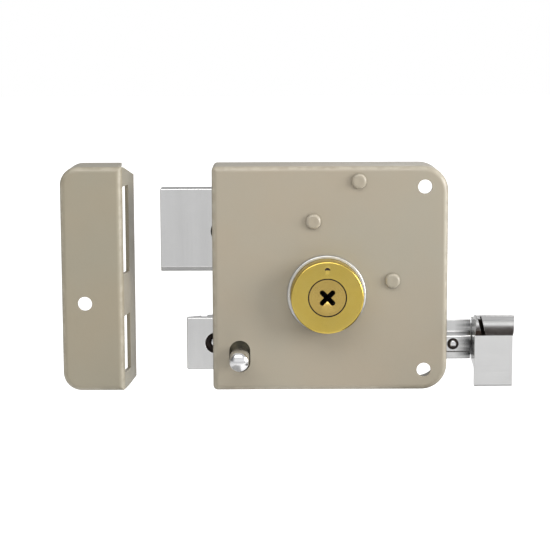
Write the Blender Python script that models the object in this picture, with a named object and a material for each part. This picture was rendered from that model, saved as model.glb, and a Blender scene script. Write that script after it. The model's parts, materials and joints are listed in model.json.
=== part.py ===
"""Rim night latch: a surface-mounted door lock with its separate keeper.

Sizes are in millimetres and become metres where a mesh is made. The door's face is the plane
y = 0 and the lock stands out from it towards -Y. The origin is the middle of the lock case on
the door's face, +X points at the pull handle and +Z is up.
"""

import math

import bmesh
import bpy
from mathutils import Vector

MM = 0.001
GAP = 0.3  # between two pieces that touch

# Driving dimensions of the case.
CASE_WIDTH, CASE_HEIGHT, CASE_DEPTH = 101.0, 97.0, 25.0
SHEET = 1.5
BEND = 2.6
BOLT_SIDE_CORNER, PULL_SIDE_CORNER = 2.0, 11.0
SCREW_X, SCREW_Z, SCREW_HOLE = 40.4, 39.6, 3.0
FLANGE_DEPTH, FLANGE_HALF_HEIGHT = 16.0, 38.0
FLANGE_SCREW_Z, FLANGE_SCREW_HOLE = 27.0, 2.2
CORNER_CUT = 26.0  # how much the back plate's pull-side corners are cut off along each side

# Levels, from the front of the case to the back plate on the door.
FRONT = -CASE_DEPTH
FRONT_INSIDE = FRONT + SHEET
PLATE_INSIDE = -SHEET
BOLT_FRONT, BOLT_BACK = -21.5, -12.5
TAIL_FRONT, TAIL_BACK = -12.2, -10.2
STRAP_BACK = -10.7

# Rivets in the bolts, the strap and the pull.
RIVET_HOLE, RIVET_SHANK, RIVET_TAIL, RIVET_TAIL_HEIGHT = 1.9, 1.6, 2.8, 0.8
RIVET_HEAD, RIVET_RISE = 2.9, 1.9
SEAT_RADIUS, SEAT_DEPTH = 4.4, 3.2
PAST = 1.0  # how far a cutter runs past the face it cuts

# Key cylinder.
KEY_X, KEY_Z = -1.5, -6.5
HOUSING_RADIUS, HOUSING_FACE, HOUSING_BACK = 15.5, FRONT - 10.5, -16.4
PLUG_RADIUS, PLUG_CLEARANCE = 8.0, 0.08
COLLAR_RADIUS, COLLAR_HEIGHT = 16.9, 1.0
NUT_RADIUS, NUT_DEPTH = 17.5, 3.0
KEYWAY_ARM, KEYWAY_HALF_WIDTH = 3.1, 1.1
PIN_RADIUS, PIN_LEVEL = 1.4, -30.0
PIN_ANGLES = (45, 135, 225, 315)
TANG = 2.5  # half the width of the square on the plug's tail
TAIL_BAR_HOLE = 5.0

# Rack and pinion between the plug and the deadbolt: half a turn moves the bolt its whole travel.
PINION_TEETH, MODULE, ADDENDUM, DEDENDUM = 14, 1.0, 0.8, 1.25
BACKLASH = 0.3
PRESSURE_ANGLE = math.radians(20)
PITCH_RADIUS = PINION_TEETH * MODULE / 2
RACK_PITCH = math.pi * MODULE
DEADBOLT_TRAVEL = math.pi * PITCH_RADIUS

# Deadbolt.
DEADBOLT_TIP, DEADBOLT_REAR = -72.6, -39.5
DEADBOLT_LOW, DEADBOLT_HIGH = 3.1, 38.8
DEADBOLT_RIVET = (-46.4, 20.5)
TAIL_END, TAIL_LOW, TAIL_HIGH = 24.0, 6.0, 36.0
TAIL_START = -52.5

# Latch bolt, its bar and its pull.
LATCH_TRAVEL = 12.0
LATCH_TIP, LATCH_REAR, LATCH_TIP_BACK = -61.8, -43.7, -18.2
LATCH_LOW, LATCH_HIGH = -39.7, -17.1
LATCH_RIVET = (-49.3, -28.2)
STRAP_END, STRAP_LOW, STRAP_HIGH = 74.0, -35.5, -21.5
BAR_START, BAR_END = 20.0, 61.8
BAR_SHEET, BAR_FLANGE_BACK, BAR_PROUD = 1.2, -12.5, 2.6
BAR_LOW, BAR_HIGH = -37.0, -19.7
BAR_RIVETS = ((53.9, -29.9), (27.0, -29.9))
PULL_RIVETS = ((68.0, -24.5), (68.0, -32.5))
PULL_LEFT, PULL_RIGHT = 62.1, 78.5
PULL_LOW, PULL_HIGH, PULL_BLOCK_HIGH, PULL_BLOCK_LOW = -46.6, -15.0, -18.4, -37.0
PULL_FRONT, PULL_PLATE, PULL_BACK = -26.5, 3.0, -12.5
LIP_PROUD, LIP_HEIGHT, LIP_FLAT, LIP_SLOPE = 3.7, 9.4, 2.0, 1.1

# Latch spring behind the bolt head.
SPRING_RADIUS, SPRING_WIRE, SPRING_TURNS = 3.2, 0.45, 9
SPRING_SEAT = -13.0
SPRING_Y, SPRING_Z = (BOLT_FRONT + BOLT_BACK) / 2, -28.4

# Snib: its button slides down to lock the latch bolt.
SNIB_X, SNIB_Z, SNIB_RADIUS, SNIB_END = -38.9, -32.85, 4.1, -43.0
SNIB_TRAVEL = 3.0
SNIB_SLOT_HALF_WIDTH, SNIB_SLOT_LOW, SNIB_SLOT_HIGH = 4.5, -40.4, -26.6
SNIB_PLATE_FRONT, SNIB_PLATE_BACK = -23.2, -22.0
SNIB_ARM_HIGH, SNIB_ARM = -11.3, 1.6
SNIB_TAB_LEFT, SNIB_TAB_RIGHT, SNIB_TAB_LOW = -43.2, -41.6, -16.7
SNIB_TAB_FRONT, SNIB_TAB_BACK = -16.5, -13.0

# Posts riveted through the front sheet: (x, z) of each.
UPPER_POST, GUIDE_POST, BRAKE_POST = (12.2, 42.1), (-7.2, 24.9), (26.7, -0.7)
POST_RADIUS, NECK_RADIUS, RIVET_HEAD_RADIUS, RIVET_HEAD_HEIGHT = 3.3, 2.0, 3.25, 1.7
BRAKE_LEVEL, BRAKE_SHEET = -14.3, 0.6

# Keeper.
KEEPER_LEFT, KEEPER_RIGHT = -115.2, -88.8
KEEPER_OUTER_CORNER, KEEPER_INNER_CORNER = 8.0, 1.0
KEEPER_HOLE = (-105.2, -10.3)
KEEPER_SLOT_FRONT, KEEPER_SLOT_BACK = -22.6, -11.5
KEEPER_CUT_TOP, KEEPER_CUT_BOTTOM = 5.5, 2.0
KEEPER_CUT_WIDTH = 1.7
KEEPER_FLARE = 3.4  # how much further right its bolt-side wall stands at the back than in front

# Materials: colour, roughness, metallic.
PAINT = ("painted_steel", (0.41, 0.365, 0.27), 0.42, 0.0)
PAINT_KEEPER = ("painted_keeper", (0.37, 0.325, 0.24), 0.45, 0.0)
CHROME = ("chromed_steel", (0.62, 0.62, 0.63), 0.18, 1.0)
STEEL = ("zinc_plated_steel", (0.5, 0.5, 0.48), 0.4, 1.0)
SPRING_STEEL = ("spring_steel", (0.32, 0.32, 0.34), 0.35, 1.0)
BRASS = ("brass", (0.64, 0.47, 0.13), 0.3, 1.0)


# ---------------------------------------------------------------- outlines


def arc(centre_x, centre_z, radius, start, end, steps):
    """Points on a circle from start to end degrees, both ends included."""
    angles = [math.radians(start + (end - start) * i / steps) for i in range(steps + 1)]
    return [(centre_x + radius * math.cos(a), centre_z + radius * math.sin(a)) for a in angles]


def circle(centre_x, centre_z, radius, sides):
    return arc(centre_x, centre_z, radius, 0, 360, sides)[:-1]


def rectangle(left, right, low, high):
    return [(left, low), (right, low), (right, high), (left, high)]


def rounded_rectangle(left, right, low, high, left_corner, right_corner, steps=6):
    """A rectangle whose two left corners and two right corners have their own radii."""
    points = []
    for x, z, radius, start in (
        (left, low, left_corner, 180),
        (right, low, right_corner, 270),
        (right, high, right_corner, 0),
        (left, high, left_corner, 90),
    ):
        centre_x = x + radius if x == left else x - radius
        centre_z = z + radius if z == low else z - radius
        points += arc(centre_x, centre_z, radius, start, start + 90, steps)
    return points


def obround(x, z, half_length, radius, angle, steps=6):
    """A slot outline: two half circles whose centres lie half_length from (x, z) along angle."""
    dx, dz = half_length * math.cos(math.radians(angle)), half_length * math.sin(math.radians(angle))
    first = arc(x + dx, z + dz, radius, angle - 90, angle + 90, steps)
    return first + arc(x - dx, z - dz, radius, angle + 90, angle + 270, steps)


def pinion_outline():
    """Involute teeth about (0, 0), with a gap between two teeth pointing up."""
    base = PITCH_RADIUS * math.cos(PRESSURE_ANGLE)
    at_pitch = math.pi / (2 * PINION_TEETH) - BACKLASH / (4 * PITCH_RADIUS)

    def involute(radius):
        angle = math.acos(min(1.0, base / radius))
        return math.tan(angle) - angle

    radii = (PITCH_RADIUS - DEDENDUM * MODULE, base, PITCH_RADIUS, PITCH_RADIUS + ADDENDUM * MODULE)
    flank = [(r, at_pitch + involute(PITCH_RADIUS) - involute(max(r, base))) for r in radii]
    points = []
    for tooth in range(PINION_TEETH):
        middle = math.pi / 2 + (tooth + 0.5) * 2 * math.pi / PINION_TEETH
        for r, half in flank:
            points.append((r * math.cos(middle - half), r * math.sin(middle - half)))
        for r, half in reversed(flank):
            points.append((r * math.cos(middle + half), r * math.sin(middle + half)))
    return points


def deadbolt_tail_outline():
    """The tail plate with rack teeth under it, a tooth standing over the pinion's axis."""
    pitch_line = KEY_Z + PITCH_RADIUS
    tip, root = pitch_line - ADDENDUM * MODULE, pitch_line + DEDENDUM * MODULE
    half = RACK_PITCH / 4 - BACKLASH / 4
    slope = math.tan(PRESSURE_ANGLE)
    first, last = -8, 1
    points = [(TAIL_START, TAIL_HIGH), (TAIL_START, TAIL_LOW)]
    points += [(KEY_X + (first - 0.5) * RACK_PITCH, TAIL_LOW), (KEY_X + (first - 0.5) * RACK_PITCH, root)]
    for tooth in range(first, last + 1):
        x = KEY_X + tooth * RACK_PITCH
        wide, narrow = half + slope * DEDENDUM * MODULE, half - slope * ADDENDUM * MODULE
        points += [(x - wide, root), (x - narrow, tip), (x + narrow, tip), (x + wide, root)]
    end = KEY_X + (last + 0.5) * RACK_PITCH
    return points + [(end, root), (end, TAIL_LOW), (TAIL_END, TAIL_LOW), (TAIL_END, TAIL_HIGH)]


# ---------------------------------------------------------------- solids


def solid_from_rings(rings, closed=False):
    """A closed mesh through rings of equal length: capped at both ends, or joined end to end."""
    mesh = bmesh.new()
    rows = [[mesh.verts.new(Vector(point) * MM) for point in ring] for ring in rings]
    pairs = list(zip(rows, rows[1:]))
    if closed:
        pairs.append((rows[-1], rows[0]))
    else:
        mesh.faces.new(rows[0])
        mesh.faces.new(rows[-1])
    for near, far in pairs:
        for i in range(len(near)):
            j = (i + 1) % len(near)
            mesh.faces.new((near[i], near[j], far[j], far[i]))
    bmesh.ops.recalc_face_normals(mesh, faces=mesh.faces)
    return mesh


def along_y(outline, low, high):
    """An (x, z) outline extruded from y = low to y = high."""
    return solid_from_rings([[(x, y, z) for x, z in outline] for y in (low, high)])


def along_x(outline, low, high):
    """A (y, z) outline extruded from x = low to x = high."""
    return solid_from_rings([[(x, y, z) for y, z in outline] for x in (low, high)])


def along_z(outline, low, high):
    """An (x, y) outline extruded from z = low to z = high."""
    return solid_from_rings([[(x, y, z) for x, y in outline] for z in (low, high)])


def turned(profile, start, direction, sides, closed=False):
    """A solid of revolution. The profile holds (distance along the axis, radius) pairs."""
    direction = Vector(direction).normalized()
    across = direction.orthogonal().normalized()
    other = direction.cross(across)
    angles = [2 * math.pi * i / sides for i in range(sides)]
    spokes = [across * math.cos(a) + other * math.sin(a) for a in angles]
    rings = [[Vector(start) + direction * d + spoke * r for spoke in spokes] for d, r in profile]
    return solid_from_rings(rings, closed)


def turned_on_y(profile, x, z, sides, closed=False):
    """A turned solid on an axis along Y. The profile holds (y, radius) pairs."""
    return turned(profile, (x, 0, z), (0, 1, 0), sides, closed)


def coil(start, direction, radius, wire, turns, length, steps=12, sides=6):
    """A round wire wound about an axis, its two ends cut flat."""
    direction = Vector(direction).normalized()
    across = direction.orthogonal().normalized()
    other = direction.cross(across)
    length -= 2 * wire
    rings = []
    for i in range(turns * steps + 1):
        angle = 2 * math.pi * i / steps
        out = across * math.cos(angle) + other * math.sin(angle)
        centre = Vector(start) + direction * (wire + length * i / (turns * steps)) + out * radius
        ring = []
        for k in range(sides):
            turn = 2 * math.pi * k / sides
            ring.append(centre + out * (wire * math.cos(turn)) + direction * (wire * math.sin(turn)))
        rings.append(ring)
    return solid_from_rings(rings)


def pressed_pan(left, right, left_corner, right_corner, flare=0.0):
    """A sheet-metal box open at the back, its front edges bent round and its corners rounded.

    With a flare, the right wall leans out by that much towards the back.
    """
    half = CASE_HEIGHT / 2

    def ring(y, inset):
        corners = [max(corner - inset, 0.3) for corner in (left_corner, right_corner)]
        lean = flare * (y - FRONT) / CASE_DEPTH
        outline = rounded_rectangle(left + inset, right - inset + lean, inset - half, half - inset, *corners)
        return [(x, y, z) for x, z in outline]

    def bend(inset, radius):
        """Rings from the walls round to the front, for the outside or the inside of the bend."""
        front = FRONT + inset
        angles = [math.radians(90 * i / 4) for i in range(5)]
        return [
            ring(front + radius - radius * math.sin(a), inset + radius - radius * math.cos(a)) for a in angles
        ]

    back = -GAP
    outside = [ring(back, 0)] + bend(0, BEND)
    inside = [ring(back, SHEET)] + bend(SHEET, BEND - SHEET)
    return solid_from_rings(inside[::-1] + outside)


# ---------------------------------------------------------------- objects


def material(kind):
    name, colour, roughness, metallic = kind
    found = bpy.data.materials.get(name)
    if found:
        return found
    made = bpy.data.materials.new(name)
    made.use_nodes = True
    shader = made.node_tree.nodes["Principled BSDF"]
    shader.inputs["Base Color"].default_value = (*colour, 1.0)
    shader.inputs["Roughness"].default_value = roughness
    shader.inputs["Metallic"].default_value = metallic
    made.diffuse_color = (*colour, 1.0)
    return made


def add_piece(name, mesh, kind, origin=(0, 0, 0), edge=0.0):
    """Makes an object whose origin lies at origin, with its edges broken by edge millimetres."""
    centre = Vector(origin) * MM
    bmesh.ops.translate(mesh, verts=mesh.verts, vec=-centre)
    data = bpy.data.meshes.new(name)
    mesh.to_mesh(data)
    mesh.free()
    data.materials.append(material(kind))
    data.shade_smooth()
    data.set_sharp_from_angle(angle=math.radians(35))
    piece = bpy.data.objects.new(name, data)
    piece.location = centre
    bpy.context.scene.collection.objects.link(piece)
    if edge:
        bevel = piece.modifiers.new("broken_edges", "BEVEL")
        bevel.width = edge * MM
        bevel.segments = 1
        bevel.limit_method = "ANGLE"
        bevel.angle_limit = math.radians(40)
    return piece


def cut(piece, *meshes):
    """Takes each mesh out of the piece with a Boolean."""
    for number, mesh in enumerate(meshes):
        name = f"{piece.name}_cut_{number}"
        data = bpy.data.meshes.new(name)
        mesh.to_mesh(data)
        mesh.free()
        cutter = bpy.data.objects.new(name, data)
        cutter.hide_render = True
        cutter.display_type = "WIRE"
        bpy.context.scene.collection.objects.link(cutter)
        boolean = piece.modifiers.new(name, "BOOLEAN")
        boolean.operation = "DIFFERENCE"
        boolean.solver = "EXACT"
        boolean.object = cutter
    return piece


def round_hole(x, z, radius, low, high, sides=24):
    return along_y(circle(x, z, radius, sides), low, high)


def rivet(name, place, seat, back, head=RIVET_HEAD, rise=RIVET_RISE):
    """A rivet along Y: a head domed by rise in front of its seat, a shank, and a flat tail behind back."""
    top, tail = seat - rise, back + GAP
    dome = [(top + rise * (1 - math.cos(a)), head * math.sin(a)) for a in (0.35, 0.8, 1.2, math.pi / 2)]
    profile = dome + [(seat, RIVET_SHANK), (tail, RIVET_SHANK)]
    profile += [(tail, RIVET_TAIL), (tail + RIVET_TAIL_HEIGHT, RIVET_TAIL)]
    add_piece(name, turned_on_y(profile, *place, 16), CHROME)


# ---------------------------------------------------------------- the case


def make_case_shell():
    half_width = CASE_WIDTH / 2
    shell = add_piece(
        "case_shell", pressed_pan(-half_width, half_width, BOLT_SIDE_CORNER, PULL_SIDE_CORNER), PAINT
    )
    before, behind = FRONT - 1, FRONT_INSIDE + 1
    holes = [round_hole(KEY_X, KEY_Z, HOUSING_RADIUS + GAP, before, behind, 64)]
    holes += [round_hole(SCREW_X, side * SCREW_Z, SCREW_HOLE, before, behind) for side in (-1, 1)]
    holes += [
        round_hole(x, z, NECK_RADIUS + GAP, before, behind, 16)
        for x, z in (UPPER_POST, GUIDE_POST, BRAKE_POST)
    ]
    slot_middle = (SNIB_SLOT_LOW + SNIB_SLOT_HIGH) / 2
    slot_reach = (SNIB_SLOT_HIGH - SNIB_SLOT_LOW) / 2 - SNIB_SLOT_HALF_WIDTH
    slot = obround(SNIB_X, slot_middle, slot_reach, SNIB_SLOT_HALF_WIDTH, 90, 10)
    holes.append(along_y(slot, before, behind))
    for low, high in ((DEADBOLT_LOW, DEADBOLT_HIGH), (LATCH_LOW, LATCH_HIGH)):
        opening = rectangle(BOLT_FRONT - 0.5, TAIL_BACK + 1.6, low - 0.5, high + 0.5)
        holes.append(along_x(opening, -half_width - 1, -half_width + SHEET + 1))
    bar_front = BAR_FLANGE_BACK - BAR_SHEET - BAR_PROUD
    bar_opening = rectangle(bar_front - 0.5, STRAP_BACK + 1.6, BAR_LOW - 0.6, BAR_HIGH + 0.6)
    holes.append(along_x(bar_opening, half_width - SHEET - 1, half_width + 1))
    cut(shell, *holes)


def make_back_plate():
    """The plate against the door. Its pull-side corners are cut off to leave the case's screws free."""
    half_width, half_height = CASE_WIDTH / 2, CASE_HEIGHT / 2
    inset = SHEET + GAP
    left, right, high = -half_width + inset, half_width - inset, half_height - inset
    outline = [(left, -high), (right - CORNER_CUT, -high), (right, CORNER_CUT - high)]
    outline += [(right, high - CORNER_CUT), (right - CORNER_CUT, high), (left, high)]
    plate = add_piece("back_plate", along_y(outline, PLATE_INSIDE, 0), STEEL)
    holes = [round_hole(KEY_X, KEY_Z, TAIL_BAR_HOLE, -3, 1)]
    holes += [round_hole(x, z, NECK_RADIUS + GAP, -3, 1, 16) for x, z in (UPPER_POST, GUIDE_POST)]
    cut(plate, *holes)


def make_edge_flange():
    """The strip that laps the door's edge, screwed to it with two countersunk screws."""
    right = -CASE_WIDTH / 2 + SHEET
    outline = rectangle(0, FLANGE_DEPTH, -FLANGE_HALF_HEIGHT, FLANGE_HALF_HEIGHT)
    flange = add_piece("edge_flange", along_x(outline, right - SHEET, right), STEEL)
    middle = FLANGE_DEPTH / 2 + 1
    holes = []
    for side in (-1, 1):
        hole = [(-1, 4.4), (SHEET * 0.7, FLANGE_SCREW_HOLE), (SHEET + 1, FLANGE_SCREW_HOLE)]
        start = (right - SHEET, middle, side * FLANGE_SCREW_Z)
        holes.append(turned(hole, start, (1, 0, 0), 20))
    cut(flange, *holes)


def make_posts():
    """Spacer posts between the front sheet and the back plate, each peened over in front."""
    head_top = FRONT - GAP - RIVET_HEAD_HEIGHT
    dome = [(head_top, 1.2), (head_top + 0.25, 2.1), (head_top + 0.7, 2.8), (head_top + 1.2, 3.15)]
    dome.append((FRONT - GAP, RIVET_HEAD_RADIUS))
    front = dome + [(FRONT - GAP, NECK_RADIUS), (FRONT_INSIDE + GAP, NECK_RADIUS)]
    body = [(FRONT_INSIDE + GAP, POST_RADIUS), (PLATE_INSIDE - GAP, POST_RADIUS)]
    tail = [(PLATE_INSIDE - GAP, NECK_RADIUS), (-GAP, NECK_RADIUS)]
    for name, (x, z) in (("upper_post", UPPER_POST), ("bolt_guide_post", GUIDE_POST)):
        add_piece(name, turned_on_y(front + body + tail, x, z, 20), PAINT)
    seat = BRAKE_LEVEL - GAP
    body = [(FRONT_INSIDE + GAP, POST_RADIUS), (seat, POST_RADIUS)]
    tail = [(seat, NECK_RADIUS), (BRAKE_LEVEL + BRAKE_SHEET + GAP, NECK_RADIUS)]
    add_piece("brake_post", turned_on_y(front + body + tail, *BRAKE_POST, 20), PAINT)


def make_brake_spring():
    """A leaf riveted to the brake post; its bent tip rubs on the deadbolt's tail."""
    x, z = BRAKE_POST
    angle = math.degrees(math.atan2(14.0, -16.0))
    back = BRAKE_LEVEL + BRAKE_SHEET
    centre_x, centre_z = x - 8.0, z + 7.0
    outline = obround(centre_x, centre_z, 10.6, 4.0, angle)
    leaf = add_piece("bolt_brake_spring", along_y(outline, BRAKE_LEVEL, back), SPRING_STEEL)
    cut(leaf, round_hole(x, z, NECK_RADIUS + GAP, BRAKE_LEVEL - 1, back + 1, 16))
    tip_x, tip_z = x - 15.5, z + 13.6
    button = [(back + GAP, 1.8), (TAIL_FRONT - GAP - 0.3, 1.8), (TAIL_FRONT - GAP, 1.2)]
    add_piece("brake_pad", turned_on_y(button, tip_x, tip_z, 16), BRASS)


# ---------------------------------------------------------------- the key cylinder


def key_point(distance, angle, level):
    """A point at this distance and angle from the cylinder's axis."""
    a = math.radians(angle)
    return KEY_X + distance * math.cos(a), level, KEY_Z + distance * math.sin(a)


def radial(angle):
    a = math.radians(angle)
    return math.cos(a), 0, math.sin(a)


def make_cylinder_housing():
    bore = PLUG_RADIUS + PLUG_CLEARANCE
    rim = 0.7
    profile = [
        (HOUSING_FACE, bore),
        (HOUSING_FACE, HOUSING_RADIUS - rim),
        (HOUSING_FACE + rim, HOUSING_RADIUS),
        (HOUSING_BACK, HOUSING_RADIUS),
        (HOUSING_BACK, bore),
    ]
    housing = add_piece("cylinder_housing", turned_on_y(profile, KEY_X, KEY_Z, 64, closed=True), BRASS)
    chambers = [
        turned([(0, PIN_RADIUS + 0.1), (6.7, PIN_RADIUS + 0.1)], key_point(7.3, a, PIN_LEVEL), radial(a), 12)
        for a in PIN_ANGLES
    ]
    dimple = round_hole(KEY_X, KEY_Z + 11.9, 1.1, HOUSING_FACE - 1, HOUSING_FACE + 1.5, 16)
    cut(housing, *chambers, dimple)


def make_cylinder_collar():
    inner, height = HOUSING_RADIUS + GAP, COLLAR_HEIGHT
    base = FRONT - GAP
    profile = [(base, inner), (base - height, inner), (base - height, COLLAR_RADIUS - 0.6)]
    profile += [(base - height * 0.5, COLLAR_RADIUS), (base, COLLAR_RADIUS)]
    add_piece("cylinder_collar", turned_on_y(profile, KEY_X, KEY_Z, 64, closed=True), PAINT)


def make_cylinder_nut():
    """The ring nut that holds the housing in the front sheet, with two spanner notches."""
    start = FRONT_INSIDE + GAP
    inner = HOUSING_RADIUS + GAP
    end = start + NUT_DEPTH
    profile = [(start, inner), (start, NUT_RADIUS), (end, NUT_RADIUS), (end, inner)]
    nut = add_piece("cylinder_nut", turned_on_y(profile, KEY_X, KEY_Z, 48, closed=True), STEEL)
    notch_floor, half_width = NUT_RADIUS - 0.8, 2.0
    notches = []
    for side in (-1, 1):
        left, right = sorted((KEY_X + side * notch_floor, KEY_X + side * (NUT_RADIUS + PAST)))
        outline = rectangle(left, right, KEY_Z - half_width, KEY_Z + half_width)
        notches.append(along_y(outline, start - PAST, end + PAST))
    cut(nut, *notches)


def make_cylinder_plug():
    neck, end = HOUSING_BACK, HOUSING_BACK + 2.0
    profile = [
        (HOUSING_FACE + 0.1, PLUG_RADIUS - 0.3),
        (HOUSING_FACE + 0.4, PLUG_RADIUS),
        (neck, PLUG_RADIUS),
        (neck, 6.5),
        (neck + 1.4, 6.5),
        (neck + 1.4, PLUG_RADIUS - 0.1),
        (end, PLUG_RADIUS - 0.1),
    ]
    axis = (KEY_X, HOUSING_FACE, KEY_Z)
    plug = add_piece("cylinder_plug", turned_on_y(profile, KEY_X, KEY_Z, 64), BRASS, axis)
    before, keyway_end = HOUSING_FACE - 1, -18.5
    arms = [
        along_y(obround(KEY_X, KEY_Z, KEYWAY_ARM, KEYWAY_HALF_WIDTH, angle), before, keyway_end)
        for angle in (45, 135)
    ]
    apex, foot, half_width = KEY_Z - 1.1, KEY_Z - 3.1, 1.9
    outline = [(KEY_X, apex), (KEY_X - half_width, foot), (KEY_X + half_width, foot)]
    lead_in = along_y(outline, before, HOUSING_FACE + 0.6)
    pin_holes = [
        turned([(0, PIN_RADIUS + 0.1), (5, PIN_RADIUS + 0.1)], key_point(3.9, a, PIN_LEVEL), radial(a), 12)
        for a in PIN_ANGLES
    ]
    socket = along_y(square_on_axis(TANG + GAP), end - 1.2, end + 1)
    cut(plug, *arms, lead_in, *pin_holes, socket)


def square_on_axis(half):
    return rectangle(KEY_X - half, KEY_X + half, KEY_Z - half, KEY_Z + half)


def make_pins():
    """One pin stack for each arm of the key, standing at the shear line as the right key holds it."""
    shear = PLUG_RADIUS
    for number, angle in enumerate(PIN_ANGLES, 1):
        key_pin = [(4.1, 0.6), (4.9, PIN_RADIUS), (shear - 0.15, PIN_RADIUS)]
        driver = [(shear + 0.3, PIN_RADIUS), (11.0, PIN_RADIUS)]
        axis_point, outward = key_point(0, angle, PIN_LEVEL), radial(angle)
        add_piece(f"key_pin_{number}", turned(key_pin, axis_point, outward, 12), STEEL, axis_point)
        add_piece(f"driver_pin_{number}", turned(driver, axis_point, outward, 12), STEEL)
        spring = coil(key_point(11.3, angle, PIN_LEVEL), outward, 1.0, 0.2, 4, 2.4, 8, 5)
        add_piece(f"driver_spring_{number}", spring, SPRING_STEEL)


def make_plug_clip():
    """The open ring that sits in the plug's neck behind the housing."""
    opening = 50
    inner, outer = 6.8, 10.0
    outline = arc(KEY_X, KEY_Z, outer, 90 + opening, 450 - opening, 28)
    outline += arc(KEY_X, KEY_Z, inner, 450 - opening, 90 + opening, 28)
    level = HOUSING_BACK + GAP
    add_piece("plug_clip", along_y(outline, level, level + 0.8), SPRING_STEEL, (KEY_X, level, KEY_Z))


def make_drive_pinion():
    """The pinion that the plug turns, its hub reaching back to take the outside cylinder's tail bar."""
    hub_front, hub_back, hub_radius = -14.1, -2.1, 4.6
    teeth = [(KEY_X + x, KEY_Z + z) for x, z in pinion_outline()]
    axis = (KEY_X, TAIL_FRONT, KEY_Z)
    pinion = add_piece("drive_pinion", along_y(teeth, TAIL_FRONT, TAIL_BACK), STEEL, axis)
    hub = along_y(circle(KEY_X, KEY_Z, hub_radius, 32), hub_front, hub_back)
    join(pinion, hub)
    cut(pinion, along_y(square_on_axis(TANG + GAP), hub_front - 1, hub_back + 1))
    add_piece("drive_tang", along_y(square_on_axis(TANG), HOUSING_BACK + 1.1, -10.5), STEEL, axis)


def join(piece, mesh):
    """Adds a mesh to the piece with a Boolean."""
    cut(piece, mesh)
    piece.modifiers[-1].operation = "UNION"


# ---------------------------------------------------------------- the deadbolt


def bolt_section(low, high):
    """A bolt head's (y, z) section: its lower front edge is bevelled off."""
    return [
        (BOLT_FRONT, low + 2.0),
        (BOLT_FRONT, high - 0.4),
        (BOLT_FRONT + 0.4, high),
        (BOLT_BACK, high),
        (BOLT_BACK, low),
        (BOLT_FRONT + 1.4, low),
    ]


def rivet_seat(x, z):
    """A counterbore for the rivet's head and a hole for its shank, through a bolt head."""
    counterbore = round_hole(x, z, SEAT_RADIUS, BOLT_FRONT - PAST, BOLT_FRONT + SEAT_DEPTH, 32)
    return counterbore, round_hole(x, z, RIVET_HOLE, BOLT_FRONT + PAST, BOLT_BACK + PAST, 16)


def make_deadbolt():
    section = bolt_section(DEADBOLT_LOW, DEADBOLT_HIGH)
    head = add_piece("deadbolt_head", along_x(section, DEADBOLT_TIP, DEADBOLT_REAR), CHROME, edge=0.35)
    cut(head, *rivet_seat(*DEADBOLT_RIVET))
    tail = add_piece("deadbolt_tail", along_y(deadbolt_tail_outline(), TAIL_FRONT, TAIL_BACK), STEEL)
    post_x, post_z = GUIDE_POST
    reach = DEADBOLT_TRAVEL / 2
    post_slot = obround(post_x - reach, post_z, reach + GAP, POST_RADIUS + GAP, 0)
    cut(
        tail,
        along_y(post_slot, TAIL_FRONT - PAST, TAIL_BACK + PAST),
        round_hole(*DEADBOLT_RIVET, RIVET_HOLE, TAIL_FRONT - PAST, TAIL_BACK + PAST, 16),
    )
    rivet("deadbolt_rivet", DEADBOLT_RIVET, BOLT_FRONT + SEAT_DEPTH - GAP, TAIL_BACK)


# ---------------------------------------------------------------- the latch bolt


def make_latch_bolt():
    """The latch head, bevelled behind so that the closing door pushes it in."""
    outline = [
        (LATCH_TIP, BOLT_FRONT),
        (LATCH_REAR, BOLT_FRONT),
        (LATCH_REAR, BOLT_BACK),
        (LATCH_TIP + 10.0, BOLT_BACK),
        (LATCH_TIP, LATCH_TIP_BACK),
    ]
    head = add_piece("latch_head", along_z(outline, LATCH_LOW, LATCH_HIGH), CHROME, edge=0.35)
    slack = 0.4
    notch_left, notch_right = SNIB_TAB_LEFT - LATCH_TRAVEL - slack, SNIB_TAB_RIGHT - LATCH_TRAVEL + slack
    notch = rectangle(notch_left, notch_right, SNIB_TAB_FRONT - slack, BOLT_BACK + PAST)
    notch_floor = SNIB_TAB_LOW - SNIB_TRAVEL - slack
    cut(head, *rivet_seat(*LATCH_RIVET), along_z(notch, notch_floor, LATCH_HIGH + PAST))
    outline = rectangle(TAIL_START, STRAP_END, STRAP_LOW, STRAP_HIGH)
    strap = add_piece("latch_strap", along_y(outline, TAIL_FRONT, STRAP_BACK), STEEL)
    holes = [LATCH_RIVET, *BAR_RIVETS, *PULL_RIVETS]
    cut(strap, *[round_hole(x, z, RIVET_HOLE, TAIL_FRONT - PAST, STRAP_BACK + PAST, 16) for x, z in holes])
    rivet("latch_rivet", LATCH_RIVET, BOLT_FRONT + SEAT_DEPTH - GAP, STRAP_BACK)


def make_pull_bar():
    """A pressed bar with two flanges and a raised middle, riveted on the strap's front."""
    back, sheet = BAR_FLANGE_BACK, BAR_SHEET
    front = back - sheet
    foot, crest, brow, ledge = -24.8, -26.5, -33.4, -33.9
    proud = front - BAR_PROUD
    outside = [(front, BAR_HIGH), (front, foot), (proud, crest), (proud, brow), (front, ledge)]
    outside.append((front, BAR_LOW))
    inside = [(back, BAR_LOW), (back, ledge + sheet), (proud + sheet, brow + sheet)]
    inside += [(proud + sheet, crest - sheet / 2), (back, foot - sheet / 2), (back, BAR_HIGH)]
    bar = add_piece("pull_bar", along_x(outside + inside, BAR_START, BAR_END), CHROME)
    cut(bar, *[round_hole(x, z, RIVET_HOLE, proud - PAST, back + PAST, 16) for x, z in BAR_RIVETS])
    for number, place in enumerate(BAR_RIVETS, 1):
        rivet(f"bar_rivet_{number}", place, proud - GAP, STRAP_BACK, head=2.3, rise=0.5)


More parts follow.
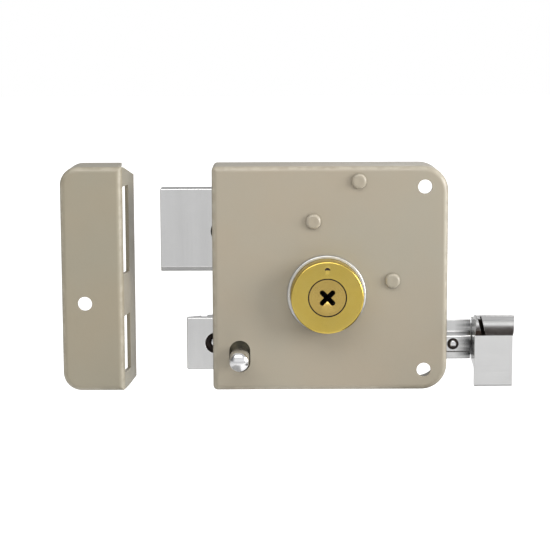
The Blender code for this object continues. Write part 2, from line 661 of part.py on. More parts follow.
def make_pull_handle():
    """The pull: a finger plate under a rounded lip, on a block that the strap is riveted behind."""
    plate_back, block_front = PULL_FRONT + PULL_PLATE, PULL_FRONT + 4.0
    ramp, rivet_end, steps = 2.0, -17.0, 12
    proud, lip_low = PULL_FRONT - LIP_PROUD, PULL_HIGH - LIP_HEIGHT
    lip = [(proud, PULL_HIGH)]
    for i in range(steps + 1):
        a = math.radians(90 * i / steps)
        bend = LIP_HEIGHT - LIP_FLAT
        lip.append((PULL_FRONT - LIP_PROUD * math.cos(a), PULL_HIGH - LIP_FLAT - bend * math.sin(a)))
    outline = [(PULL_FRONT, PULL_LOW), (plate_back, PULL_LOW), (plate_back, PULL_BLOCK_LOW - ramp)]
    outline.append((PULL_BACK, PULL_BLOCK_LOW))
    outline += [(PULL_BACK, PULL_BLOCK_HIGH), (block_front, PULL_BLOCK_HIGH)]
    outline.append((block_front, PULL_HIGH - LIP_SLOPE))
    handle = add_piece("pull_handle", along_x(outline + lip, PULL_LEFT, PULL_RIGHT), CHROME, edge=0.35)
    web, slant, width, notch_floor = 0.5, 2.1, 1.1, -19.5
    notch_left, notch_high = PULL_LEFT + web, PULL_HIGH - web
    notch = [(notch_left, notch_high), (notch_left + slant, lip_low)]
    notch += [(notch_left + slant + width, lip_low), (notch_left + width, notch_high)]
    cut(
        handle,
        along_y(notch, proud - PAST, notch_floor),
        *[round_hole(x, z, RIVET_HOLE, rivet_end, PULL_BACK + PAST, 16) for x, z in PULL_RIVETS],
    )
    tail = STRAP_BACK + GAP
    profile = [(rivet_end + 0.5, RIVET_SHANK), (tail, RIVET_SHANK), (tail, RIVET_TAIL)]
    profile.append((tail + RIVET_TAIL_HEIGHT, RIVET_TAIL))
    for number, place in enumerate(PULL_RIVETS, 1):
        add_piece(f"pull_rivet_{number}", turned_on_y(profile, *place, 16), STEEL)


def make_latch_spring():
    """The spring behind the latch head, its fixed bracket and the rod that guides it."""
    thickness = 1.5
    low, over, under = STRAP_LOW - 5.0, -24.5, STRAP_LOW - 1.1
    front, back = -21.0, PLATE_INSIDE - GAP
    outline = [(back, low), (front, low), (front, over), (TAIL_FRONT - 1, over), (TAIL_FRONT - 1, under)]
    outline.append((back, under))
    bracket = add_piece("spring_bracket", along_x(outline, SPRING_SEAT, SPRING_SEAT + thickness), STEEL)
    rod_hole = turned([(-1, 1.8), (thickness + 1, 1.8)], (SPRING_SEAT, SPRING_Y, SPRING_Z), (1, 0, 0), 16)
    cut(bracket, rod_hole)
    shoulder = SPRING_SEAT + thickness + GAP
    rod = [(-15.0 + SPRING_SEAT, 1.0), (-14.4 + SPRING_SEAT, 1.5), (shoulder, 1.5), (shoulder, 3.0)]
    rod.append((shoulder + 1.0, 3.0))
    add_piece("spring_guide_rod", turned(rod, (0, SPRING_Y, SPRING_Z), (1, 0, 0), 16), STEEL)
    start, end = LATCH_REAR + GAP, SPRING_SEAT - GAP
    place, length = (start, SPRING_Y, SPRING_Z), end - start
    wound = coil(place, (1, 0, 0), SPRING_RADIUS, SPRING_WIRE, SPRING_TURNS, length)
    add_piece("latch_spring", wound, SPRING_STEEL, (end, SPRING_Y, SPRING_Z))


# ---------------------------------------------------------------- the snib


def make_snib():
    neck, neck_end = 1.8, SNIB_PLATE_BACK - 0.1
    rise, angles = 2.4, (0.3, 0.7, 1.1, 1.35)
    dome = [(SNIB_END + rise * (1 - math.cos(a)), SNIB_RADIUS * math.sin(a)) for a in angles]
    seat = SNIB_PLATE_FRONT - GAP
    profile = dome + [(SNIB_END + rise, SNIB_RADIUS), (seat, SNIB_RADIUS), (seat, neck), (neck_end, neck)]
    add_piece("snib_button", turned_on_y(profile, SNIB_X, SNIB_Z, 32), CHROME)
    left, right, low = SNIB_X - 6.6, SNIB_X + 6.4, SNIB_SLOT_LOW - 1.1
    plate = along_y(rectangle(left, right, low, SNIB_ARM_HIGH), SNIB_PLATE_FRONT, SNIB_PLATE_BACK)
    slide = add_piece("snib_slide", plate, STEEL)
    arm_low = SNIB_ARM_HIGH - SNIB_ARM
    arm_front = SNIB_PLATE_FRONT + 0.2
    arm = [(arm_front, arm_low), (arm_front, SNIB_ARM_HIGH), (SNIB_TAB_BACK, SNIB_ARM_HIGH)]
    arm += [(SNIB_TAB_BACK, SNIB_TAB_LOW), (SNIB_TAB_FRONT, SNIB_TAB_LOW), (SNIB_TAB_FRONT, arm_low)]
    join(slide, along_x(arm, SNIB_TAB_LEFT, SNIB_TAB_RIGHT))
    cut(slide, round_hole(SNIB_X, SNIB_Z, neck + GAP, SNIB_PLATE_FRONT - 1, SNIB_PLATE_BACK + 1, 16))


def make_snib_track():
    """The frame on the front sheet's inside that the snib's plate slides in."""
    low, high, rail = -46.0, -8.9, 1.4
    left, right = SNIB_X - 7.1, SNIB_X + 6.9
    outline = [(left - rail, low), (left, low), (left, high - rail), (right, high - rail), (right, low)]
    outline += [(right + rail, low), (right + rail, high), (left - rail, high)]
    add_piece("snib_track", along_y(outline, SNIB_PLATE_FRONT, SNIB_PLATE_BACK), STEEL)


# ---------------------------------------------------------------- the keeper


def make_keeper():
    keeper = add_piece(
        "keeper_shell",
        pressed_pan(KEEPER_LEFT, KEEPER_RIGHT, KEEPER_OUTER_CORNER, KEEPER_INNER_CORNER, KEEPER_FLARE),
        PAINT_KEEPER,
    )
    cuts = [round_hole(*KEEPER_HOLE, 3.05, FRONT - 1, FRONT_INSIDE + 1)]
    for low, high in ((DEADBOLT_LOW, DEADBOLT_HIGH), (LATCH_LOW, LATCH_HIGH)):
        opening = rectangle(KEEPER_SLOT_FRONT, KEEPER_SLOT_BACK, low - 1, high + 1)
        cuts.append(along_x(opening, KEEPER_RIGHT - SHEET - 1, KEEPER_RIGHT + KEEPER_FLARE + 1))
    half, start = CASE_HEIGHT / 2, FRONT + BEND
    for sign, drop in ((1, KEEPER_CUT_TOP), (-1, KEEPER_CUT_BOTTOM)):
        over = sign * (half + PAST)
        corner = [(start, sign * half), (PAST, sign * (half - drop)), (PAST, over), (start, over)]
        cuts.append(along_x(corner, KEEPER_RIGHT - KEEPER_CUT_WIDTH, KEEPER_RIGHT + KEEPER_FLARE + 1))
    cut(keeper, *cuts)


def main():
    for old in list(bpy.data.objects):
        bpy.data.objects.remove(old)
    make_case_shell()
    make_back_plate()
    make_edge_flange()
    make_posts()
    make_brake_spring()
    make_cylinder_housing()
    make_cylinder_collar()
    make_cylinder_nut()
    make_cylinder_plug()
    make_pins()
    make_plug_clip()
    make_drive_pinion()
    make_deadbolt()
    make_latch_bolt()
    make_pull_bar()
    make_pull_handle()
    make_latch_spring()
    make_snib()
    make_snib_track()
    make_keeper()


main()
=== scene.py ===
"""The looks of the rim night latch: finely shaped pieces around the CAD frame, materials and a studio.

Outlines are in millimetres, in the frame's own axes, and become metres where a mesh is made.
Places and sizes come from the CAD nodes' boxes and from the record's openings.
"""

import json
import math

import bmesh
import bpy
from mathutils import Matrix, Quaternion, Vector

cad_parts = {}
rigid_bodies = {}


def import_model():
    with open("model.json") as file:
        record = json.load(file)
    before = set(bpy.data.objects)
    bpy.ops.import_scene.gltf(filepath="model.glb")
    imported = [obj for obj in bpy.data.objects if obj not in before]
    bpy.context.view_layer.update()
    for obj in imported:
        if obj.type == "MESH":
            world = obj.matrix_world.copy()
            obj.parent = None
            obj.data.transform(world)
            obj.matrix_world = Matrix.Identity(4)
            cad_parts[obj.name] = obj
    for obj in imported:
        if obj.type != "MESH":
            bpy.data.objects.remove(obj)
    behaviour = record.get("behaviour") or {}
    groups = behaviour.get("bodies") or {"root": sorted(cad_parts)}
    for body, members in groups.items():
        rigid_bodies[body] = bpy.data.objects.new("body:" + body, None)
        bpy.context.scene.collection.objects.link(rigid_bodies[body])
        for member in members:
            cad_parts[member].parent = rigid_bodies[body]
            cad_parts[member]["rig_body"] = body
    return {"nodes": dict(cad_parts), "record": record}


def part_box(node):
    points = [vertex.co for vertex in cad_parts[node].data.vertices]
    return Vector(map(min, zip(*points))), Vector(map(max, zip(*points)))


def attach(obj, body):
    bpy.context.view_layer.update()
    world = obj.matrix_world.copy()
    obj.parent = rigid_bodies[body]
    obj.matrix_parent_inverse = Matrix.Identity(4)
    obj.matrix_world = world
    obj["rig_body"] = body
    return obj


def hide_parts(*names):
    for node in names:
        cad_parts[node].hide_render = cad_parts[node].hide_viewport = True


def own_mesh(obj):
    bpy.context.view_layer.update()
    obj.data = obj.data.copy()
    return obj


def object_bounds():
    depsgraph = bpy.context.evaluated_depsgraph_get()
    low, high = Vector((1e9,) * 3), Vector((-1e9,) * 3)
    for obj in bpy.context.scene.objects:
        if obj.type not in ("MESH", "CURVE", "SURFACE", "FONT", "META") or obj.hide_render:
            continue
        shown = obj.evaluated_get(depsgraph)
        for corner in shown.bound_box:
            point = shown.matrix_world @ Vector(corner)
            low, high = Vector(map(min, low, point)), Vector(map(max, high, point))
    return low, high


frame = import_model()
cad_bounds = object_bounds()

MM = 0.001
GAP = 0.3  # between two pieces that touch
SHEET = 1.5
BEND = 2.6
PAST = 1.0  # how far a cutter runs past the face it cuts
POINT = 0.02  # the radius at which a turned piece ends on its axis
HAIR = 0.001  # a length too small to see
RIVET_HOLE = 1.9
RIM_TURNS = (0.4, 0.8, 1.2, math.pi / 2)  # radians, from a flat face round to a straight side
ROUNDED_ANGLE, CREASED_ANGLE = 32, 50  # least degrees between two faces for a bevel and for a crease
SLOT_OF = {part["node"]: part["material_slot"] for part in frame["record"]["subparts"]}
OPENINGS = {opening["name"]: opening["box_m"] for opening in frame["record"]["physics"]["openings"]}
X, Y, Z = 0, 1, 2


# ---------------------------------------------------------------- reading the frame


def extent(node):
    """A CAD node's lowest and highest corners in millimetres."""
    low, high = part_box(node)
    return low / MM, high / MM


def middle(node):
    """The middle of a CAD node's box in millimetres."""
    low, high = extent(node)
    return (low + high) / 2


def radius_of(node):
    """Half the width of a node that is round about an axis along Y."""
    low, high = extent(node)
    return (high.x - low.x) / 2


def from_axis(place, axis):
    """How far a place is from an axis along Y."""
    return math.hypot(place.x - axis.x, place.z - axis.z)


def opening_middle(name):
    """The middle of an opening that the record states, in millimetres."""
    low, high = (Vector(corner) / MM for corner in OPENINGS[name])
    return (low + high) / 2


# ---------------------------------------------------------------- outlines


def arc(first, second, radius, start, end, steps):
    """Points on a circle about (first, second) from start to end degrees, both ends included."""
    angles = [math.radians(start + (end - start) * i / steps) for i in range(steps + 1)]
    return [(first + radius * math.cos(a), second + radius * math.sin(a)) for a in angles]


def circle(first, second, radius, sides=64):
    return arc(first, second, radius, 0, 360, sides)[:-1]


def obround(x, z, reach, radius, angle, steps=16):
    """A slot outline: two half circles whose centres lie reach from (x, z) along angle."""
    dx, dz = reach * math.cos(math.radians(angle)), reach * math.sin(math.radians(angle))
    outline = arc(x + dx, z + dz, radius, angle - 90, angle + 90, steps)
    return outline + arc(x - dx, z - dz, radius, angle + 90, angle + 270, steps)


def rectangle(left, right, low, high):
    return [(left, low), (right, low), (right, high), (left, high)]


def round_over(face, drop, radius, width, turns=RIM_TURNS):
    """The turned-over rim of a profile: from a face at radius - width, back by drop to the full radius."""
    return [(face + drop * (1 - math.cos(a)), radius - width + width * math.sin(a)) for a in turns]


def rounded(corners, steps=6):
    """A closed outline through (first, second, radius) corners, each turned on its own radius."""
    outline = []
    for i, (first, second, radius) in enumerate(corners):
        here = Vector((first, second))
        if radius == 0:
            outline.append(tuple(here))
            continue
        before = (Vector(corners[i - 1][:2]) - here).normalized()
        after = (Vector(corners[(i + 1) % len(corners)][:2]) - here).normalized()
        half = before.angle(after) / 2
        centre = here + (before + after).normalized() * (radius / math.sin(half))
        start = here + before * (radius / math.tan(half)) - centre
        end = here + after * (radius / math.tan(half)) - centre
        turn = math.atan2(start.x * end.y - start.y * end.x, start.dot(end))
        for k in range(steps + 1):
            a = turn * k / steps
            x = start.x * math.cos(a) - start.y * math.sin(a)
            y = start.x * math.sin(a) + start.y * math.cos(a)
            outline.append((centre.x + x, centre.y + y))
    return outline


# ---------------------------------------------------------------- solids


def solid(rings, closed=False):
    """A closed mesh through rings of equal length: capped at both ends, or joined end to end."""
    mesh = bmesh.new()
    rows = [[mesh.verts.new(Vector(point) * MM) for point in ring] for ring in rings]
    pairs = list(zip(rows, rows[1:]))
    if closed:
        pairs.append((rows[-1], rows[0]))
    else:
        mesh.faces.new(rows[0])
        mesh.faces.new(rows[-1])
    for near, far in pairs:
        for i in range(len(near)):
            j = (i + 1) % len(near)
            mesh.faces.new((near[i], near[j], far[j], far[i]))
    bmesh.ops.recalc_face_normals(mesh, faces=mesh.faces)
    return mesh


def along(axis, outline, low, high):
    """An outline in the plane across an axis, extruded along that axis from low to high."""
    rings = []
    for level in (low, high):
        ring = []
        for pair in outline:
            point = list(pair)
            point.insert(axis, level)
            ring.append(point)
        rings.append(ring)
    return solid(rings)


def turned(profile, start, direction, sides=96, closed=False):
    """A solid of revolution. The profile holds (distance along the axis, radius) pairs."""
    direction = Vector(direction).normalized()
    across = direction.orthogonal().normalized()
    other = direction.cross(across)
    angles = [2 * math.pi * i / sides for i in range(sides)]
    rings = []
    for distance, radius in profile:
        centre = Vector(start) + direction * distance
        ring = []
        for a in angles:
            ring.append(centre + across * (radius * math.cos(a)) + other * (radius * math.sin(a)))
        rings.append(ring)
    return solid(rings, closed)


def turned_on_y(profile, place, sides=96, closed=False):
    """A turned solid on an axis along Y through a place. The profile holds (y, radius) pairs."""
    return turned(profile, (place[X], 0, place[Z]), (0, 1, 0), sides, closed)


def pressed_pan(node, left_corner, right_corner, flare=0.0):
    """A sheet-metal box open at the back, its front edges bent round and its corners rounded.

    With a flare, the right wall leans out by that much towards the back.
    """
    low, high = extent(node)
    left, right, front, back = low.x, high.x - flare, low.y, high.y
    corner_steps, bend_steps, least_corner = 18, 8, 0.3

    def ring(y, inset):
        lean = flare * (y - front) / (back - front)
        corners = []
        for x, z, corner in (
            (left + inset, low.z + inset, left_corner),
            (right - inset + lean, low.z + inset, right_corner),
            (right - inset + lean, high.z - inset, right_corner),
            (left + inset, high.z - inset, left_corner),
        ):
            corners.append((x, z, max(corner - inset, least_corner)))
        return [(x, y, z) for x, z in rounded(corners, corner_steps)]

    def bend(inset, radius):
        """Rings from the walls round to the front, for the outside or the inside of the bend."""
        centre = front + inset + radius
        angles = [math.radians(90 * i / bend_steps) for i in range(bend_steps + 1)]
        return [ring(centre - radius * math.sin(a), inset + radius * (1 - math.cos(a))) for a in angles]

    outside = [ring(back, 0)] + bend(0, BEND)
    inside = [ring(back, SHEET)] + bend(SHEET, BEND - SHEET)
    return solid(inside[::-1] + outside)


# ---------------------------------------------------------------- pieces


def new_object(name, mesh, origin=(0, 0, 0)):
    """An object whose own origin is at origin, which is where its material's pattern is centred."""
    centre = Vector(origin) * MM
    bmesh.ops.translate(mesh, verts=mesh.verts, vec=-centre)
    data = bpy.data.meshes.new(name)
    mesh.to_mesh(data)
    mesh.free()
    made = bpy.data.objects.new(name, data)
    made.location = centre
    bpy.context.scene.collection.objects.link(made)
    return made


def add_bevel(piece, width, segments=3):
    bevel = piece.modifiers.new("rounded_edges", "BEVEL")
    bevel.width = width * MM
    bevel.segments = segments
    bevel.limit_method = "ANGLE"
    bevel.angle_limit = math.radians(ROUNDED_ANGLE)


def add_even_shading(piece):
    """Lets broad flat faces stay flat where they meet their rounded edges."""
    weighted = piece.modifiers.new("even_shading", "WEIGHTED_NORMAL")
    weighted.keep_sharp = True


def darken(data, origin, is_deep):
    """Paints the faces whose middles lie deep in a recess near-black, as painted shade."""
    data.materials.append(shade_black)
    for face in data.polygons:
        if is_deep(Vector(origin) + face.center / MM):
            face.material_index = 1


def finished(name, mesh, look, nodes, cutters=(), edge=0.0, origin=(0, 0, 0), is_deep=None):
    """A piece that stands for CAD nodes: cut to shape, its edges rounded, and fixed as a plain mesh.

    edge is the width of the rounded edges. The faces for whose middles is_deep holds are painted
    near-black, as painted shade.
    """
    piece = new_object(name, mesh, origin)
    helpers = []
    for number, cutter in enumerate(cutters):
        helper = new_object(f"{name}_cutter_{number}", cutter)
        boolean = piece.modifiers.new(helper.name, "BOOLEAN")
        boolean.solver = "EXACT"
        boolean.object = helper
        helpers.append(helper)
    if edge:
        add_bevel(piece, edge)
    shaped = piece.evaluated_get(bpy.context.evaluated_depsgraph_get())
    data = bpy.data.meshes.new_from_object(shaped)
    piece.modifiers.clear()
    piece.data = data
    for helper in helpers:
        bpy.data.objects.remove(helper)
    data.shade_smooth()
    data.set_sharp_from_angle(angle=math.radians(CREASED_ANGLE))
    data.materials.clear()
    data.materials.append(look)
    if is_deep:
        darken(data, origin, is_deep)
    add_even_shading(piece)
    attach(piece, frame["nodes"][nodes[0]]["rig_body"])
    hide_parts(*nodes)
    return piece


def hole(place, radius, low, high, sides=64):
    """A round cutter along Y."""
    return along(Y, circle(place[X], place[Z], radius, sides), low, high)


# ---------------------------------------------------------------- material nodes


def new_material(name, metallic=0.0):
    """A material, its nodes and its shader."""
    made = bpy.data.materials.new(name)
    made.use_nodes = True
    shader = made.node_tree.nodes["Principled BSDF"]
    shader.inputs["Metallic"].default_value = metallic
    return made, made.node_tree, shader


def add_node(tree, kind, inputs=(), **properties):
    """A new node with its properties set, and its inputs set to numbers or joined to outputs."""
    node = tree.nodes.new(kind)
    for key, value in properties.items():
        setattr(node, key, value)
    for key, value in dict(inputs).items():
        if isinstance(value, bpy.types.NodeSocket):
            tree.links.new(value, node.inputs[key])
        else:
            node.inputs[key].default_value = value
    return node


def place_on_object(tree, stretch=(1, 1, 1)):
    """A place in the object's own metres, stretched along its axes."""
    place = add_node(tree, "ShaderNodeTexCoord").outputs["Object"]
    mapping = add_node(tree, "ShaderNodeMapping", {"Vector": place, "Scale": stretch})
    return mapping.outputs["Vector"]


def noise(tree, scale, detail=2.0, stretch=(1, 1, 1)):
    """Cloudy noise from 0 to 1, with scale features to the metre."""
    inputs = {"Vector": place_on_object(tree, stretch), "Scale": scale, "Detail": detail}
    return add_node(tree, "ShaderNodeTexNoise", inputs).outputs["Fac"]


def spread(tree, value, low, high, at_low=0.0, at_high=1.0):
    """Maps low..high onto at_low..at_high, and holds the ends."""
    inputs = {"Value": value, "From Min": low, "From Max": high, "To Min": at_low, "To Max": at_high}
    return add_node(tree, "ShaderNodeMapRange", inputs).outputs["Result"]


def combine(tree, operation, first, second):
    """The result of a maths operation on two values."""
    return add_node(tree, "ShaderNodeMath", {0: first, 1: second}, operation=operation).outputs[0]


def split(tree, vector):
    """A vector's X, Y and Z."""
    return add_node(tree, "ShaderNodeSeparateXYZ", {0: vector}).outputs


def camera_sees(tree):
    """1 where the camera looks straight at a surface, and 0 in reflections and scattered light."""
    return add_node(tree, "ShaderNodeLightPath").outputs["Is Camera Ray"]


def tint(tree, amount, first, second):
    """A colour between first and second."""
    node = add_node(tree, "ShaderNodeMix", {"Factor": amount}, data_type="RGBA")
    for socket, colour in (("A_Color", first), ("B_Color", second)):
        target = next(entry for entry in node.inputs if entry.identifier == socket)
        if isinstance(colour, bpy.types.NodeSocket):
            tree.links.new(colour, target)
        else:
            target.default_value = (*colour, 1.0)
    return next(entry for entry in node.outputs if entry.identifier == "Result_Color")


def bump(tree, height, depth, strength=1.0, under=None):
    """A bump of depth millimetres, laid over another bump if one is given."""
    inputs = {"Height": height, "Distance": depth * MM, "Strength": strength}
    if under is not None:
        inputs["Normal"] = under
    return add_node(tree, "ShaderNodeBump", inputs).outputs["Normal"]


def on_a_bend(tree):
    """How far a surface turns away from the three main directions: 0 on the flats, 1 on a bend."""
    flat, bent = 0.975, 0.8
    normal = add_node(tree, "ShaderNodeNewGeometry").outputs["True Normal"]
    size = add_node(tree, "ShaderNodeVectorMath", {0: normal}, operation="ABSOLUTE")
    parts = split(tree, size.outputs[0])
    largest = combine(tree, "MAXIMUM", combine(tree, "MAXIMUM", parts["X"], parts["Y"]), parts["Z"])
    return spread(tree, largest, flat, bent)


def wire_up(tree, shader, colour, roughness, normal):
    """Joins a material's three patterns to its shader."""
    tree.links.new(colour, shader.inputs["Base Color"])
    tree.links.new(roughness, shader.inputs["Roughness"])
    tree.links.new(normal, shader.inputs["Normal"])


# ---------------------------------------------------------------- materials


def grey(level):
    """A colour without a hue."""
    return (level, level, level)


def paint(name, colour, cool, bend_highlight):
    """Stoved enamel: drifting tone, fine specks, orange peel, and a painted highlight that lightens the
    bends in patches.
    """
    made, tree, shader = new_material(name)
    drift = spread(tree, noise(tree, 22, 3), 0.35, 0.65)
    tone = tint(tree, drift, colour, cool)
    specks = spread(tree, noise(tree, 2600, 1), 0.62, 0.8, 0.0, 0.16)
    tone = tint(tree, specks, tone, tuple(0.7 * c for c in colour))
    # Painted highlight: the bends are lightened in patches, as if they caught the light.
    patches = spread(tree, noise(tree, 240, 3), 0.4, 0.6, 0.25, 0.6)
    bend_lit = combine(tree, "MULTIPLY", on_a_bend(tree), patches)
    tone = tint(tree, bend_lit, tone, bend_highlight)
    roughness = spread(tree, noise(tree, 90, 4), 0.3, 0.7, 0.34, 0.47)
    peel = bump(tree, noise(tree, 620, 1), depth=0.05, strength=0.5)
    grain = bump(tree, noise(tree, 3800, 2), depth=0.008, strength=0.6, under=peel)
    wire_up(tree, shader, tone, roughness, grain)
    shader.inputs["Coat Weight"].default_value = 0.18
    shader.inputs["Coat Roughness"].default_value = 0.22
    return made


def plated(name, colour, dull, roughness, stretch, scratches=0.6, painted_shade=None):
    """Plated steel: polishing lines along one axis, drifting gloss, faint smudges and hair scratches.

    Its last argument, if given, is an axis, two places along it in millimetres, and a share: streaks
    of painted shade and dark reflection thicken from the first place to the second, where the thickest
    cover that share of the metal.
    """
    made, tree, shader = new_material(name, 1.0)
    lines = noise(tree, 1500, 3, stretch)
    clouds = noise(tree, 55, 4)
    tone = tint(tree, spread(tree, clouds, 0.4, 0.75, 0.0, 0.8), colour, dull)
    tone = tint(tree, spread(tree, lines, 0.35, 0.75, 0.0, 0.2), tone, dull)
    bands = spread(tree, noise(tree, 150, 2, stretch), 0.35, 0.65, 0.0, 0.5)
    tone = tint(tree, bands, tone, dull)
    # Painted shade and dark reflection: near-black streaks that thicken along one axis.
    if painted_shade:
        axis, start, end, most = painted_shade
        level = split(tree, place_on_object(tree))[axis]
        reach = spread(tree, level, start * MM, end * MM)
        shade_streaks = spread(tree, noise(tree, 420, 2, stretch), 0.35, 0.6, 0.2 * most, most)
        tone = tint(tree, combine(tree, "MULTIPLY", reach, shade_streaks), tone, grey(0.02))
    smooth, rough = roughness
    gloss = spread(tree, clouds, 0.3, 0.7, smooth, rough)
    gloss = combine(tree, "ADD", gloss, spread(tree, lines, 0.3, 0.7, -0.01, 0.02))
    hairs = spread(tree, noise(tree, 900, 1, (stretch[2], 1.0, stretch[0])), 0.66, 0.7)
    brushed = bump(tree, lines, depth=0.0014, strength=scratches)
    scratched = bump(tree, hairs, depth=-0.0012, strength=scratches, under=brushed)
    wire_up(tree, shader, tone, gloss, scratched)
    return made


def turned_metal(name, colour, deep, roughness, pitch=0.22, rough_side=0.0):
    """Metal finished on a lathe about its own Y axis, with its round sides rougher by rough_side."""
    made, tree, shader = new_material(name, 1.0)
    place = split(tree, place_on_object(tree))
    across = add_node(tree, "ShaderNodeCombineXYZ", {"X": place["X"], "Z": place["Z"]}).outputs[0]
    radius = add_node(tree, "ShaderNodeVectorMath", {0: across}, operation="LENGTH").outputs["Value"]
    distance = combine(tree, "ADD", radius, place["Y"])
    inputs = {"W": distance, "Scale": 1 / (pitch * MM), "Detail": 2.0}
    rings = add_node(tree, "ShaderNodeTexNoise", inputs, noise_dimensions="1D").outputs["Fac"]
    clouds = noise(tree, 110, 4)
    tone = tint(tree, spread(tree, clouds, 0.35, 0.7, 0.0, 0.7), colour, deep)
    tone = tint(tree, spread(tree, rings, 0.3, 0.7, 0.0, 0.45), tone, deep)
    tarnish = spread(tree, noise(tree, 700, 3), 0.62, 0.78, 0.0, 0.3)
    tone = tint(tree, tarnish, tone, tuple(0.6 * c for c in deep))
    ripple = spread(tree, rings, 0.3, 0.7, -0.03, 0.04)
    gloss = combine(tree, "ADD", spread(tree, clouds, 0.3, 0.7, *roughness), ripple)
    facing = split(tree, add_node(tree, "ShaderNodeNewGeometry").outputs["True Normal"])["Y"]
    side = spread(tree, combine(tree, "ABSOLUTE", facing, 0.0), 0.2, 0.7, rough_side, 0.0)
    gloss = combine(tree, "ADD", gloss, side)
    wire_up(tree, shader, tone, gloss, bump(tree, rings, depth=0.006, strength=0.7))
    shader.inputs["Anisotropic"].default_value = 0.4
    tangent = add_node(tree, "ShaderNodeTangent", direction_type="RADIAL", axis="Y")
    tree.links.new(tangent.outputs[0], shader.inputs["Tangent"])
    return made


def zinc(name):
    """Zinc plating, lightly passivated: small crystals, a shifting tint and a dull bloom."""
    made, tree, shader = new_material(name, 1.0)
    inputs = {"Vector": place_on_object(tree), "Scale": 520.0}
    crystals = add_node(tree, "ShaderNodeTexVoronoi", inputs).outputs["Color"]
    crystals = add_node(tree, "ShaderNodeSeparateColor", {0: crystals}).outputs["Red"]
    tone = tint(tree, crystals, (0.52, 0.53, 0.55), (0.62, 0.63, 0.63))
    tone = tint(tree, spread(tree, noise(tree, 45, 3), 0.45, 0.7, 0.0, 0.5), tone, (0.6, 0.56, 0.46))
    bloom = spread(tree, noise(tree, 130, 4), 0.3, 0.7, 0.32, 0.5)
    fine = bump(tree, noise(tree, 2400, 2), depth=0.01, strength=0.5)
    wire_up(tree, shader, tone, bloom, fine)
    return made


def spring_wire(name):
    """Oiled spring steel with drawing marks."""
    made, tree, shader = new_material(name, 1.0)
    marks = noise(tree, 1800, 3, (0.15, 1.0, 1.0))
    tone = tint(tree, spread(tree, marks, 0.35, 0.7), (0.34, 0.34, 0.36), (0.2, 0.2, 0.22))
    gloss = spread(tree, noise(tree, 300, 3), 0.3, 0.7, 0.24, 0.4)
    wire_up(tree, shader, tone, gloss, bump(tree, marks, depth=0.004, strength=0.6))
    return made


def dull_film(name, colour, blotch):
    """A dull, blotchy film: near-black for painted shade, dark for the steel that shows through the snib's
    slot, and grey for a studio card.
    """
    made, tree, shader = new_material(name)
    tone = tint(tree, spread(tree, noise(tree, 400, 3), 0.4, 0.6), colour, blotch)
    gloss = spread(tree, noise(tree, 900, 3), 0.35, 0.65, 0.4, 0.7)
    grain = bump(tree, noise(tree, 2600, 2), depth=0.02, strength=0.6)
    wire_up(tree, shader, tone, gloss, grain)
    shader.inputs["Specular IOR Level"].default_value = 0.3
    return made


LINES_ALONG_X, LINES_ALONG_Z = (0.04, 1.0, 1.0), (1.0, 1.0, 0.05)
pull_top, bar_end = extent("pull_handle")[1].z, extent("pull_bar")[1].x
# Near-black film: painted shade on the faces deep in recesses, and the dark card below the pull.
shade_black = dull_film("shade_black", colour=(0.014, 0.01, 0.009), blotch=(0.032, 0.02, 0.015))
# Dark steel for the snib's slide and track, darkened to paint the shade inside the slot they show through.
slot_shade_steel = dull_film("slot_shade_steel", colour=(0.05, 0.046, 0.03), blotch=(0.09, 0.08, 0.05))
grey_card = dull_film("grey_card", colour=grey(0.38), blotch=grey(0.42))
# Each paint's last colour is the painted highlight laid on its bends.
case_paint = paint(
    "case_enamel",
    colour=(0.29, 0.25, 0.188),
    cool=(0.277, 0.252, 0.197),
    bend_highlight=(0.45, 0.41, 0.33),
)
keeper_paint = paint(
    "keeper_enamel",
    colour=(0.257, 0.22, 0.156),
    cool=(0.244, 0.221, 0.165),
    bend_highlight=(0.42, 0.38, 0.3),
)
bolt_chrome = plated(
    "satin_chrome",
    colour=grey(0.77),
    dull=grey(0.66),
    roughness=(0.15, 0.22),
    stretch=LINES_ALONG_Z,
)
# Streaks of painted dark reflection on the pull, growing from 6.5 mm to 3.5 mm below its top and full
# above.
pull_chrome = plated(
    "bright_chrome",
    colour=grey(0.82),
    dull=grey(0.74),
    roughness=(0.18, 0.26),
    stretch=LINES_ALONG_X,
    scratches=0.4,
    painted_shade=("Z", pull_top - 6.5, pull_top - 3.5, 0.42),
)
# The bar darkens in streaks towards its outer end: painted shade and painted reflection of the dark pull.
bar_chrome = plated(
    "end_shaded_chrome",
    colour=grey(0.8),
    dull=grey(0.66),
    roughness=(0.16, 0.24),
    stretch=LINES_ALONG_X,
    painted_shade=("X", bar_end - 7.0, bar_end - 0.5, 0.95),
)
pin_chrome = turned_metal(
    "turned_chrome",
    colour=(0.8, 0.8, 0.81),
    deep=(0.72, 0.72, 0.73),
    roughness=(0.13, 0.2),
)
housing_brass = turned_metal(
    "turned_brass",
    colour=(0.65, 0.49, 0.125),
    deep=(0.58, 0.42, 0.085),
    roughness=(0.16, 0.24),
    rough_side=0.34,
)
plug_brass = turned_metal(
    "plug_brass",
    colour=(0.52, 0.375, 0.115),
    deep=(0.47, 0.33, 0.095),
    roughness=(0.24, 0.34),
    pitch=0.3,
)
zinc_plate = zinc("zinc_plate")
spring_steel = spring_wire("spring_steel")
LOOK_OF_SLOT = {
    "painted_case": case_paint,
    "painted_keeper": keeper_paint,
    "chrome": bolt_chrome,
    "zinc_steel": zinc_plate,
    "spring_steel": spring_steel,
    "brass": housing_brass,
}
# The snib's slide and track get the dark steel that paints the slot's shade.
LOOK_OF_NODE = {"snib_slide": slot_shade_steel, "snib_track": slot_shade_steel}


# ---------------------------------------------------------------- case


BOLTS = ("deadbolt_head", "latch_head")
POST_TAILS = {"upper_post": 1.2, "bolt_guide_post": 1.2, "brake_post": 0.9}  # past the gap behind the body


